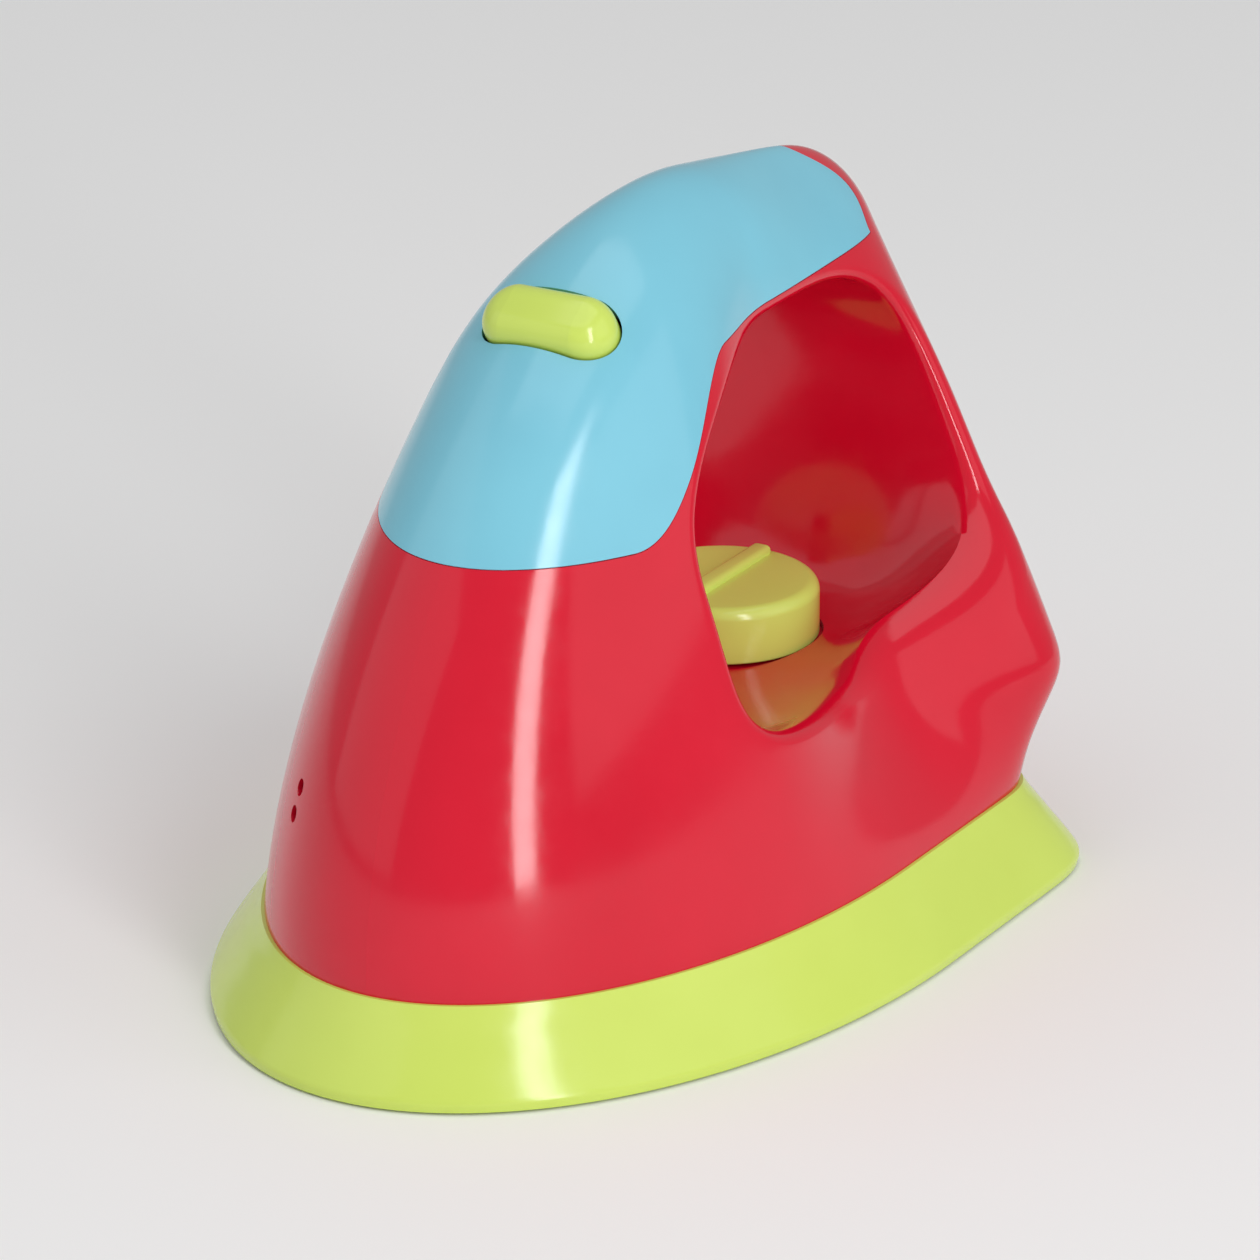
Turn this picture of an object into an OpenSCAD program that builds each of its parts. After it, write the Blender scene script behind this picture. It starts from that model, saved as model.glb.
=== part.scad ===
// Toy iron with a closed hand opening, a sprung push button and a clicking dial.
// +X runs to the nose, +Y to the left, +Z up; the sole rests at zero height.

/* [Body] */
// Length of the body where it meets the skirt
body_l = 124; // [118:1:134]
// Width of the body where it meets the skirt
body_w = 85; // [80:1:94]
// Height of the handle's top over the widest station
body_top = 108.4; // [106:0.1:112]
// How far the widest station lies behind the middle, as a share of length
widest_share = 0.113; // [0.09:0.001:0.14]
// How far the front line leans back between skirt and top, as a share of length
nose_back_share = 0.521; // [0.49:0.001:0.53]
// How far each flank draws in between skirt and top, as a share of width
flank_in_share = 0.332; // [0.3:0.002:0.36]
// Height of the rounding over the top, as a share of the body's height
crown_share = 0.192; // [0.18:0.001:0.205]
// Wall of the mouldings
wall = 2.2; // [1.8:0.1:2.4]

/* [Heel] */
// Length of the rounding at the heel, as a share of length
heel_round_share = 0.177; // [0.15:0.001:0.2]
// Height of the heel lip above the skirt, as a share of the body's height
lip_rise_share = 0.178; // [0.15:0.002:0.2]
// How far the heel lip stands out past the body's foot
lip_out = 8; // [6:0.5:8]
// Width over the heel lip, as a share of width
lip_w_share = 1.119; // [1.08:0.001:1.17]
// How far each side of the post draws in between lip and top, as a share of width
post_in_share = 0.578; // [0.55:0.001:0.58]

/* [Hand opening] */
// How far the opening's middle lies behind the middle of the iron, as a share of length
open_back_share = 0.218; // [0.21:0.001:0.23]
// Height of the opening's middle above the skirt, as a share of the body's height
open_z_share = 0.498; // [0.485:0.001:0.51]
// From the opening's middle to its front edge, as a share of length
open_front_share = 0.333; // [0.315:0.001:0.338]
// From the opening's middle to its rear edge, as a share of length
open_rear_share = 0.25; // [0.23:0.002:0.254]
// From the opening's middle to its top edge, as a share of the body's height
open_top_share = 0.278; // [0.262:0.001:0.281]
// From the opening's middle to the lowest point of its rim, as a share of the body's height
open_floor_share = 0.241; // [0.23:0.001:0.25]
// How far behind the middle the rim is lowest, as a share of length
rim_low_share = 0.097; // [0.07:0.001:0.12]
// Rounding of the opening's rim
rim_r = 2.2; // [1.4:0.1:2.4]
// How far the floor lies below the rim's lowest point, as a share of the body's height
floor_dip_share = 0.0535; // [0.049:0.0005:0.0565]

/* [Cover] */
// Height of the cover's lower edge round the nose above the skirt, as a share of the body's height
cover_z_share = 0.582; // [0.56:0.001:0.6]
// How far the edge climbs beside the opening, as a share of the body's height
cover_climb_share = 0.216; // [0.214:0.001:0.222]
// Where the edge begins to climb, as a share of length
cover_climb_x_share = 0.194; // [0.18:0.002:0.21]
// Length over which the edge climbs, as a share of length
cover_climb_l_share = 0.25; // [0.236:0.002:0.266]
// How far back the cover reaches, as a share of length
cover_back_share = 0.472; // [0.452:0.002:0.484]
// Clearance round the cover
cover_gap = 0.25; // [0.15:0.05:0.4]
// Width of a snap tab of the cover
tab_w = 6; // [4:0.5:7]
// How far a snap tab reaches below the edge
tab_reach = 3.5; // [2.5:0.5:4]
// Thickness of a snap tab
tab_t = 1.4; // [1:0.1:1.8]

/* [Skirt and sole] */
// Height of the skirt
skirt_h = 13; // [11:0.5:14]
// How far the skirt flares past the body
skirt_flare = 8; // [6:0.5:9]
// How far the skirt stays above the floor
skirt_lift = 0.4; // [0.2:0.1:0.8]
// Step between the skirt's top edge and the body
skirt_step = 0.5; // [0.3:0.1:0.8]
// Width of the lower lip outside the sole
skirt_lip = 2; // [1.6:0.1:2.6]
// Width of the ledge that carries the body
ledge_w = 5; // [4:0.5:6]
// Thickness of the sole
sole_t = 3; // [2.6:0.1:3.4]
// Clearance round the sole
sole_gap = 0.3; // [0.2:0.05:0.5]

/* [Button] */
// Where the button sits along the body, as a share of length
button_x_share = 0.105; // [0.098:0.001:0.12]
// Length of the button across the cover
button_l = 20.4; // [18:0.2:21]
// Width of the button along the cover
button_w = 10.4; // [10:0.2:11]
// How far the button stands out of the cover
button_rise = 2.6; // [2:0.1:3.2]
// Clearance round the button
button_gap = 0.4; // [0.3:0.05:0.6]
// Radius of the button's crown across the cover
button_crown_r = 20; // [18:0.5:23]
// How far the button reaches below the cover's surface
button_drop = 6; // [5.5:0.1:6.5]
// Radius of the button's stem
stem_r = 2; // [1.9:0.05:2.1]
// Clearance of the stem in its guide
stem_gap = 0.06; // [0.03:0.01:0.09]
// Depth of the guide's upper face below the cover's surface
guide_drop = 8.5; // [8.3:0.1:8.8]
// Thickness of the guide
guide_t = 1.6; // [1.4:0.1:1.8]
// Radius of the collar round the guide's bore
collar_r = 2.9; // [2.8:0.05:3]
// Height of that collar
collar_h = 2.2; // [1.5:0.1:2.4]
// Distance of the guide's two screws from the stem
guide_reach = 9.8; // [9.6:0.1:10.2]
// Radius of the cover's bosses and of the guide's ends
guide_boss_r = 2.7; // [2.5:0.1:2.9]
// Radius of the spring to the middle of its wire
spring_r = 3.5; // [3.45:0.01:3.6]
// Radius of the spring's wire
wire_r = 0.3; // [0.2:0.02:0.32]
// Turns of the spring
spring_turns = 5; // [4:1:5]
// Depth of the spring's upper end below the cover's surface
spring_top = 1; // [0.8:0.1:1.4]
// Radius of the washer on the stem
stop_r = 3.6; // [3.2:0.1:3.8]
// Thickness of both washers
washer_t = 0.6; // [0.5:0.1:0.8]

/* [Dial] */
// How far the dial lies behind the opening's middle, as a share of length
dial_back_share = 0.081; // [0.074:0.001:0.088]
// Radius of the dial, as a share of the opening's length
dial_r_share = 0.194; // [0.18:0.002:0.198]
// Height of the dial
dial_h = 8.3; // [7.5:0.1:9]
// Rounding of the dial's upper edge
dial_round = 1.8; // [1:0.1:2.2]
// Gap between the dial and its seat
dial_lift = 0.5; // [0.4:0.05:0.7]
// Width of the dial's grip rib
grip_w = 3; // [2.4:0.1:4]
// Height of the dial's grip rib
grip_h = 1.2; // [0.8:0.1:1.4]
// Gap between the dial and the rim of its seat
seat_gap = 0.6; // [0.4:0.1:0.8]
// Radius of the dial's shaft
shaft_r = 3; // [2.8:0.1:3.2]
// Clearance of the shaft in its bush
shaft_gap = 0.05; // [0.03:0.01:0.09]
// Radius of the bush's neck in the floor
neck_r = 5.5; // [5:0.1:6]
// Radius of the bush's upper flange
bush_top_r = 8; // [7.4:0.1:8.6]
// Thickness of the bush's upper flange
bush_top_t = 1.2; // [1:0.1:1.4]
// Radius of the bush's lower flange
bush_low_r = 16; // [15.6:0.1:16.4]
// Thickness of the bush's lower flange
bush_low_t = 2; // [1.8:0.1:2.4]
// Radius of the notched wheel
wheel_r = 9; // [8.8:0.1:9.2]
// Thickness of the notched wheel
wheel_t = 3; // [2.6:0.1:3.2]
// Notches round the wheel
notch_n = 12; // [9:3:15]
// Radius of a notch
notch_r = 1.5; // [1.4:0.05:1.6]
// Radius of the leaf spring's nub
nub_r = 1.1; // [1:0.05:1.15]
// Thickness of the leaf spring
leaf_t = 0.6; // [0.4:0.05:0.7]
// Radius of the washer under the wheel
dial_washer_r = 6; // [5:0.2:7]

/* [Screws] */
// Thread radius of the body screws
screw_r = 1.4; // [1.2:0.05:1.5]
// Head radius of the body screws
head_r = 2.8; // [2.6:0.1:3]
// Head height of the body screws
head_h = 1.6; // [1.4:0.1:1.8]
// Thread length of the body screws
screw_l = 12; // [10:0.5:13]
// Thread radius of the small screws
small_r = 0.9; // [0.8:0.05:1]
// Head radius of the small screws
small_head_r = 1.9; // [1.7:0.05:2]
// Head height of the small screws
small_head_h = 1; // [0.8:0.1:1.1]
// Thread length of the small screws
small_l = 5; // [4:0.5:5.5]
// Radius of the pillars and of the left bosses
pillar_r = 3.6; // [3.2:0.1:4]
// Radius of the right bosses round the screw pockets
pocket_boss_r = 4.8; // [4.6:0.1:5]
// Clearance round a screw head
head_gap = 0.5; // [0.3:0.05:0.6]
// Depth of the screw heads' seat from the middle plane
seat_depth = 6; // [5:0.5:7]

/* [Small holes] */
// Radius of the two small holes by the nose
vent_r = 1.2; // [1:0.1:1.4]
// Distance between the two small holes
vent_pitch = 3.8; // [3.4:0.1:4.4]
// Where the two small holes lie along the body, as a share of length
vent_x_share = 0.409; // [0.39:0.001:0.42]
// Turn of the two small holes from straight ahead
vent_turn = 45; // [40:1:50]
// Height of the middle between the two small holes above the skirt, as a share of the body's height
vent_z_share = 0.22; // [0.18:0.005:0.25]

/* [Shape] */
// Share of the flank's draw that is straight
flank_lean_share = 0.332; // [0.28:0.004:0.38]
// Share of the post's draw that is straight
post_lean_share = 0.713; // [0.69:0.001:0.74]
// Rise of the handle's top towards the nose, as a share of length
top_slope_share = 0.168; // [0.15:0.001:0.18]
// Forward lean of the post's back, as a share of height
back_lean_share = 0.02; // [0.01:0.002:0.03]
// How much further back the nose's rounding starts at the top, as a share of length
nose_shift_share = 0.113; // [0.1:0.001:0.13]
// How much the waist draws in behind the nose
waist_share = 0.17; // [0.14:0.01:0.19]
// How much more the handle draws in
handle_share = 0.178; // [0.15:0.002:0.19]
// Lean of the cover's rear end, as a share of height
cover_lean_share = 0.45; // [0.4:0.02:0.6]
// Hollow of the flank's line
flank_power = 1.45; // [1.4:0.01:1.55]
// Bow of the front line
nose_power = 2.02; // [1.94:0.02:2.1]
// Bow of the post's sides
post_power = 2; // [1.9:0.02:2.1]
// Squareness of the heel in plan
heel_power = 4.2; // [3.8:0.1:4.6]
// Squareness of the crown
crown_power = 2.55; // [2.3:0.05:2.7]
// Squareness of the opening's corner at the front top
front_top_power = 2.2; // [2.1:0.05:2.4]
// Squareness of the opening's corner at the rear top
rear_top_power = 4; // [3.6:0.1:4.2]
// Squareness of the opening's corner at the front of the floor
front_low_power = 5.5; // [5:0.1:6]
// Squareness of the opening's corner at the rear of the floor
rear_low_power = 3.2; // [3:0.1:3.6]
// Squareness of the floor's own line
floor_power = 6; // [5.6:0.1:6.6]
// Rise of the opening's lower rim towards the heel, as a share of length
rim_rise_share = 0.13; // [0.1:0.01:0.15]

/* [Hidden] */
overrun = 1;
fit_gap = 0.1;
contact_gap = 0.3;
half_share = 0.5;
$fn = 48;

nose_steps = 20;
heel_steps = 12;
profile_steps = 48;
skin_steps = 9;
inner_steps = 6;
cover_steps = 26;
arch_steps = 8;
search_steps = 22;
edge_steps = 24;

// Lengths from the shares of length, height and width
body_h = body_top - skirt_h;
crown_h = crown_share * body_h;
lip_rise = lip_rise_share * body_h;
lip_w = lip_w_share * body_w;
core_x = -widest_share * body_l;
core_z = body_top - crown_h;
heel_core = (heel_round_share - half_share) * body_l;
lip_z = skirt_h + lip_rise;
open_x = -open_back_share * body_l;
open_z = skirt_h + open_z_share * body_h;
open_front_l = open_front_share * body_l;
open_rear_l = open_rear_share * body_l;
open_top_h = open_top_share * body_h;
open_floor_h = open_floor_share * body_h;
floor_dip = floor_dip_share * body_h;
lining_top = open_z + open_top_h + wall;
cover_z = skirt_h + cover_z_share * body_h;
cover_back = cover_back_share * body_l;
button_x = button_x_share * body_l;
dial_r = dial_r_share * (open_front_l + open_rear_l);
vent_x = vent_x_share * body_l;
vent_z = skirt_h + vent_z_share * body_h;

// Stations where the waist and the post begin, and how fast they set in
waist_x_share = 0.097;
waist_l_share = 0.298;
waist_rise_share = 0.252;
handle_low_share = 0.283;
handle_rise_share = 0.524;
post_x_share = -0.202;
post_l_share = 0.282;
undercut_share = 0.12;
shift_low_share = 0.765;
shift_rise_share = 0.231;

function ease(t) = let (c = min(1, max(0, t))) c * c * (3 - 2 * c);
function bend(u, share, p) = share * u + (1 - share) * pow(max(0, u), p);
function mix(a, b, t) = a + (b - a) * t;
function flip(list) = [for (i = [len(list) - 1 : -1 : 0]) list[i]];
function rise(z) = (z - skirt_h) / body_h;

// Front line, back line and top line of the side view
function front_x(z) = body_l * (half_share - nose_back_share * pow(max(0, rise(z)), nose_power));
function back_x(z) = z >= lip_z
    ? back_lean_share * (z - lip_z) - body_l / 2 - lip_out
    : -body_l / 2 - lip_out * ease(((z - skirt_h) / lip_rise - undercut_share) / (1 - undercut_share));
function top_z(x) = body_top + top_slope_share * (x - core_x);

// Half width before the rounding of nose, heel and crown
function nose_w(z) = body_w * (half_share - flank_in_share * bend(rise(z), flank_lean_share, flank_power));
function waist_w(z) = nose_w(z) * (1 - waist_share * ease(rise(z) / waist_rise_share)
    - handle_share * ease((rise(z) - handle_low_share) / handle_rise_share));
function post_w(z) = z < lip_z
    ? mix(body_w, lip_w, (z - skirt_h) / lip_rise) / 2
    : lip_w / 2 - post_in_share * body_w
        * bend((z - lip_z) / (body_top - lip_z), post_lean_share, post_power);
function half_w(x, z) = mix(mix(nose_w(z), waist_w(z), ease((waist_x_share - x / body_l) / waist_l_share)),
    post_w(z), ease((post_x_share - x / body_l) / post_l_share));

// Rounding: reaches one on the side view's outline, set in by d
function nose_core(z) = core_x
    - nose_shift_share * body_l * ease((rise(z) - shift_low_share) / shift_rise_share);
function over(x, z, d) =
    pow(max(0, x - nose_core(z)) / (front_x(z) - d - nose_core(z)), 2)
    + pow(max(0, heel_core - x) / (heel_core - back_x(z) - d), heel_power)
    + pow(max(0, z - core_z) / (top_z(x) - d - core_z), crown_power);
function side_y(x, z, d) = max(half_w(x, z) - d, 0) * sqrt(max(0, 1 - over(x, z, d)));

// Hand opening in the side view: its rim, and the line of its floor
function open_l(x) = x > open_x ? open_front_l : open_rear_l;
function open_power(x, z) = z > open_z
    ? (x > open_x ? front_top_power : rear_top_power)
    : (x > open_x ? front_low_power : rear_low_power);
function rim_h(x, z) = z > open_z ? open_top_h
    : open_floor_h - rim_rise_share * max(0, -rim_low_share * body_l - x);
function in_rim(x, z) = let (p = open_power(x, z))
    pow(abs(x - open_x) / open_l(x), p) + pow(abs(z - open_z) / rim_h(x, z), p) < 1;
function in_floor(x, z) = z > open_z ? in_rim(x, z)
    : pow(abs(x - open_x) / open_l(x), floor_power)
        + pow((open_z - z) / (open_floor_h + floor_dip), floor_power) < 1;
function rim_z(x) = let (p = open_power(x, 0))
    open_z - rim_h(x, 0) * pow(1 - pow(abs(x - open_x) / open_l(x), p), 1 / p);
function floor_z(x) = open_z
    - (open_floor_h + floor_dip) * pow(1 - pow(abs(x - open_x) / open_l(x), floor_power), 1 / floor_power);

// Distance from the opening's middle to its rim, its floor or the body's skin
function ray_x(a, r) = open_x + r * cos(a);
function ray_z(a, r) = open_z + r * sin(a);
function rim_reach(a, lo, hi, n) = n == 0 ? lo
    : let (m = (lo + hi) / 2)
      in_rim(ray_x(a, m), ray_z(a, m)) ? rim_reach(a, m, hi, n - 1) : rim_reach(a, lo, m, n - 1);
function floor_reach(a, lo, hi, n) = n == 0 ? lo
    : let (m = (lo + hi) / 2)
      in_floor(ray_x(a, m), ray_z(a, m)) ? floor_reach(a, m, hi, n - 1) : floor_reach(a, lo, m, n - 1);
function reach(a, d, lo, hi, n) = n == 0 ? lo
    : let (m = (lo + hi) / 2)
      over(ray_x(a, m), ray_z(a, m), d) < 1 ? reach(a, d, m, hi, n - 1) : reach(a, d, lo, m, n - 1);

// Faces of a tube of n sections with m points each, closed on itself or open
function tube_faces(n, m, closed) = [
    for (i = [0 : closed ? n - 1 : n - 2], j = [0 : m - 1])
        let (k = (i + 1) % n, l = (j + 1) % m)
        each [[i * m + j, k * m + l, i * m + l], [i * m + j, k * m + j, k * m + l]]
];

// One section of a half shell along a direction from the opening's middle
nose_a = atan2(skirt_h - open_z, body_l / 2 - open_x);
heel_a = atan2(skirt_h - open_z, -body_l / 2 - open_x) + 360;
lining_shares = [0, 0.4, 0.65, 0.85];
skin_power = 1.8;
function foot_r(a) = (skirt_h - open_z) / sin(a);
function shell_point(a, r, y) = [ray_x(a, r), y, ray_z(a, r)];
function skin_y(a, r, d) = side_y(ray_x(a, r), ray_z(a, r), d);
function shell_section(a, on_foot, at_corner) = let (
        far = body_l,
        inner_r = rim_reach(a, 0, far, search_steps),
        outer_r = on_foot || at_corner ? foot_r(a) : reach(a, 0, inner_r, far, search_steps),
        wall_r = on_foot ? foot_r(a) : reach(a, wall, inner_r, far, search_steps),
        dip = sin(a) < 0 ? floor_reach(a, 0, far, search_steps) - inner_r : 0,
        rim_y = skin_y(a, inner_r + rim_r, 0),
        lining_y = skin_y(a, inner_r + wall, wall),
        start_r = inner_r + rim_r)
    concat(
        [for (f = lining_shares)
            shell_point(a, inner_r + dip * (1 - pow(f, 3)), f * (rim_y - rim_r))],
        [for (t = [0, 45, 90])
            shell_point(a, inner_r + rim_r * (1 - cos(t)), rim_y - rim_r * (1 - sin(t)))],
        [for (i = [1 : skin_steps])
            let (r = mix(outer_r, start_r, pow(1 - i / skin_steps, skin_power)))
            shell_point(a, r, i == skin_steps && !on_foot ? 0 : skin_y(a, r, 0))],
        [for (i = [0 : inner_steps])
            let (r = mix(wall_r, inner_r + wall, i / inner_steps))
            shell_point(a, r, i == 0 && !on_foot ? 0 : skin_y(a, r, wall))],
        [for (f = flip(lining_shares))
            shell_point(a, inner_r + wall + dip * (1 - pow(f, 3)), f * lining_y)]);

module half_skin() {
    foot_x = [for (q = foot_half(0)) q[0]];
    sections = concat(
        [for (i = [0 : profile_steps])
            shell_section(mix(nose_a, heel_a, i / profile_steps), false, i == 0 || i == profile_steps)],
        [for (i = [len(foot_x) - 2 : -1 : 1])
            shell_section(atan2(skirt_h - open_z, foot_x[i] - open_x) + 360, true, false)]);
    polyhedron(
        points = [for (s = sections) each s],
        faces = [for (f = tube_faces(len(sections), len(sections[0]), true)) flip(f)],
        convexity = 8);
}

// Edge of the cover in the side view
function cover_edge(x) = cover_z
    + cover_climb_share * body_h * ease((cover_climb_x_share - x / body_l) / cover_climb_l_share);

// Room for the cover: everything above its edge but the handle's lining
module cover_room() {
    low_x = front_x(cover_z) + skirt_flare;
    high = body_top + skirt_h;
    edge = [for (i = [0 : edge_steps])
        let (x = mix(low_x, -cover_back - cover_gap, i / edge_steps))
        [x, cover_edge(x) - cover_gap]];
    rear_x = -cover_back - cover_gap;
    rear_z = cover_edge(rear_x);
    difference() {
        rotate([90, 0, 0])
            linear_extrude(height = lip_w + overrun, center = true)
                polygon(concat(edge,
                    [[rear_x + cover_lean_share * (high - rear_z), high], [low_x, high]]));
        translate([0, 0, cover_z - tab_reach])
            linear_extrude(height = lining_top + contact_gap - cover_z + tab_reach)
                lining_plan();
    }
}

// Plan of the handle's lining that stays inside the cover
module lining_plan() {
    side = [for (i = [0 : edge_steps])
        let (x = mix(open_x + open_front_l * half_share, -cover_back - wall, i / edge_steps))
        [x, side_y(x, lining_top + contact_gap, wall + cover_gap)]];
    polygon(concat(side, [for (i = [edge_steps : -1 : 0]) [side[i][0], -side[i][1]]]));
}

// Half space outside the left flank, set in by d, tangent at a station
module outside_flank(x, z, d) {
    y = side_y(x, z, d);
    slope_x = (side_y(x + overrun, z, d) - side_y(x - overrun, z, d)) / (2 * overrun);
    slope_z = (side_y(x, z + overrun, d) - side_y(x, z - overrun, d)) / (2 * overrun);
    translate([x, y, z])
        multmatrix([[1, 0, 0, 0], [slope_x, 1, slope_z, 0], [0, 0, 1, 0], [0, 0, 0, 1]])
            translate([-body_w / 2, 0, -body_w / 2])
                cube([body_w, body_w, body_w]);
}

// Stations of the screws that draw the halves together, as x and z
boss_shares = [[0.242, 0.178], [0.194, 0.45], [-0.105, 0.074], [-0.452, 0.074]];
boss_at = [for (p = boss_shares) [p[0] * body_l, skirt_h + p[1] * body_h]];
// Stations of the pillars that take the sole's screws, as x and y
pillar_shares = [[0.032, 0.2], [-0.387, 0.247]];
pillar_at = [for (p = pillar_shares) [p[0] * body_l, p[1] * body_w]];

function pillar_top(x, y) = let (rim = side_y(x, rim_z(x), 0) - rim_r)
    mix(floor_z(x), rim_z(x), pow(y / rim, 3)) - wall * half_share;

// Boss across the half, from the middle plane into the flank's wall
module boss(x, z, r) {
    difference() {
        translate([x, 0, z])
            rotate([-90, 0, 0])
                cylinder(r = r, h = body_w / 2);
        outside_flank(x, z, wall * half_share);
    }
}

module pillars() {
    for (p = pillar_at)
        translate([p[0], p[1], sole_t])
            cylinder(r = pillar_r, h = pillar_top(p[0], p[1]) - sole_t);
}

module pillar_pilots() {
    for (p = pillar_at)
        translate([p[0], p[1], sole_t - overrun])
            cylinder(r = screw_r, h = screw_l + overrun);
}

dial_x = open_x - dial_back_share * body_l;
seat_z = open_z - open_floor_h - floor_dip;

// Flat seat of the dial and the hole that clamps its bush
module dial_seat() {
    translate([dial_x, 0, seat_z])
        cylinder(r = dial_r + seat_gap, h = dial_h);
    translate([dial_x, 0, seat_z - wall - floor_dip])
        cylinder(r = neck_r + fit_gap, h = wall + floor_dip + overrun);
}

// Red left half of the body
module left_shell() {
    color("crimson")
    difference() {
        union() {
            difference() {
                half_skin();
                cover_room();
            }
            for (p = boss_at)
                boss(p[0], p[1], pillar_r);
            pillars();
        }
        dial_seat();
        pillar_pilots();
        for (p = boss_at)
            translate([p[0], 0, p[1]])
                rotate([-90, 0, 0])
                    translate([0, 0, -overrun])
                        cylinder(r = screw_r, h = screw_l - seat_depth + 2 * overrun);
    }
}

// Red right half, with the screw pockets and the two small holes
module right_shell() {
    color("crimson")
    mirror([0, 1, 0])
    difference() {
        union() {
            difference() {
                half_skin();
                cover_room();
            }
            for (p = boss_at)
                boss(p[0], p[1], pocket_boss_r);
            pillars();
        }
        dial_seat();
        pillar_pilots();
        for (p = boss_at)
            translate([p[0], 0, p[1]])
                rotate([-90, 0, 0]) {
                    translate([0, 0, -overrun])
                        cylinder(r = screw_r + fit_gap, h = seat_depth + 2 * overrun);
                    translate([0, 0, seat_depth])
                        cylinder(r = head_r + head_gap, h = body_w / 2);
                }
        for (s = [-1, 1])
            translate([vent_x, side_y(vent_x, vent_z, 0), vent_z + s * vent_pitch / 2])
                rotate([90, 0, 90 + vent_turn])
                    cylinder(r = vent_r, h = 4 * wall, center = true);
    }
}

// Sections of the cover across the handle, rear to nose
cover_tip = 0.4;
lean_end_share = 0.3;
station_power = 1.7;
function cover_front(d) = front_x(cover_z) - d - cover_tip;
function cover_station(i, d) = mix(cover_front(d), -cover_back, pow(1 - i / cover_steps, station_power));
function cover_lean(i) = cover_lean_share * (1 - ease(i / (cover_steps * lean_end_share)));
function crown(x, lean, z, d, lo, hi, n) = n == 0 ? lo
    : let (m = (lo + hi) / 2)
      over(x + lean * (m - z), m, d) < 1 ? crown(x, lean, z, d, m, hi, n - 1)
                                         : crown(x, lean, z, d, lo, m, n - 1);
function arch(i, d) = let (
        x = cover_station(i, d),
        z = cover_edge(x),
        lean = cover_lean(i),
        high = crown(x, lean, z, d, z, body_top + crown_h, search_steps))
    [for (j = [-arch_steps : arch_steps])
        let (t = 1 - abs(j) / arch_steps,
            h = mix(z, high, 1 - (1 - t) * (1 - t)),
            q = x + lean * (h - z))
        [q, j == 0 ? 0 : -sign(j) * side_y(q, h, d), h]];

module cover_skin() {
    n = 2 * arch_steps + 1;
    m = 2 * n;
    last = cover_steps * m;
    polyhedron(
        points = [for (i = [0 : cover_steps]) each concat(arch(i, 0), flip(arch(i, wall)))],
        faces = concat(
            tube_faces(cover_steps + 1, m, false),
            [for (j = [0 : n - 2]) each [[j, j + 1, m - 2 - j], [j, m - 2 - j, m - 1 - j]]],
            [for (j = [0 : n - 2]) each [[last + j, last + m - 2 - j, last + j + 1],
                [last + j, last + m - 1 - j, last + m - 2 - j]]]),
        convexity = 8);
}

// Block between two depths of the left flank
module flank_block(x0, x1, z0, z1, d0, d1) {
    polyhedron(
        points = [for (d = [d0, d1], z = [z0, z1], x = [x0, x1]) [x, side_y(x, z, d), z]],
        faces = [[0, 1, 3], [0, 3, 2], [4, 7, 5], [4, 6, 7], [0, 5, 1], [0, 4, 5],
            [2, 3, 7], [2, 7, 6], [0, 2, 6], [0, 6, 4], [1, 7, 3], [1, 5, 7]]);
}

// Stations of the cover's snap tabs beside the nose
tab_shares = [0.169, 0.234];
tab_at = [for (t = tab_shares) t * body_l];
module snap_tab(x) {
    top = cover_z + tab_reach;
    x0 = x - tab_w / 2;
    x1 = x + tab_w / 2;
    deep = wall + contact_gap + tab_t;
    flank_block(x0, x1, cover_z + overrun, top, wall * half_share, deep);
    flank_block(x0, x1, cover_z - tab_reach, top, wall + contact_gap, deep);
}

// The button's own frame: its axis stands square to the cover's top line
function top_at(x) = crown(x, 0, 0, 0, core_z, body_top + crown_h, search_steps);
button_z = top_at(button_x);
button_tilt = atan((top_at(button_x - button_w / 2) - top_at(button_x + button_w / 2)) / button_w);
function local_x(u, w) = button_x + u * cos(button_tilt) + w * sin(button_tilt);
function local_z(u, w) = button_z - u * sin(button_tilt) + w * cos(button_tilt);
function local_top(u, lo, hi, n) = n == 0 ? lo
    : let (m = (lo + hi) / 2)
      over(local_x(u, m), local_z(u, m), 0) < 1 ? local_top(u, m, hi, n - 1) : local_top(u, lo, m, n - 1);
function boss_top(u) = min([for (s = [-1, 1])
    local_top(u + s * guide_boss_r, -guide_drop, guide_drop, search_steps)]) - wall * half_share;

module at_button() {
    translate([button_x, 0, button_z])
        rotate([0, button_tilt, 0])
            children();
}

// Upright bar with round ends, across the cover
module bar(l, w, h) {
    for (s = [-1, 1])
        translate([0, s * (l - w) / 2, 0])
            cylinder(r = w / 2, h = h);
    translate([-w / 2, (w - l) / 2, 0])
        cube([w, l - w, h]);
}

// Light blue cover over nose and handle
module top_cover() {
    color("skyblue")
    difference() {
        union() {
            cover_skin();
            for (x = tab_at) {
                snap_tab(x);
                mirror([0, 1, 0])
                    snap_tab(x);
            }
            at_button()
                for (s = [-1, 1])
                    translate([s * guide_reach, 0, -guide_drop])
                        cylinder(r = guide_boss_r, h = guide_drop + boss_top(s * guide_reach));
        }
        at_button() {
            translate([0, 0, -guide_drop])
                bar(button_l + 2 * button_gap, button_w + 2 * button_gap, guide_drop + button_drop);
            for (s = [-1, 1])
                translate([s * guide_reach, 0, -guide_drop - overrun])
                    cylinder(r = small_r, h = small_l - guide_t + 2 * overrun);
        }
    }
}

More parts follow.
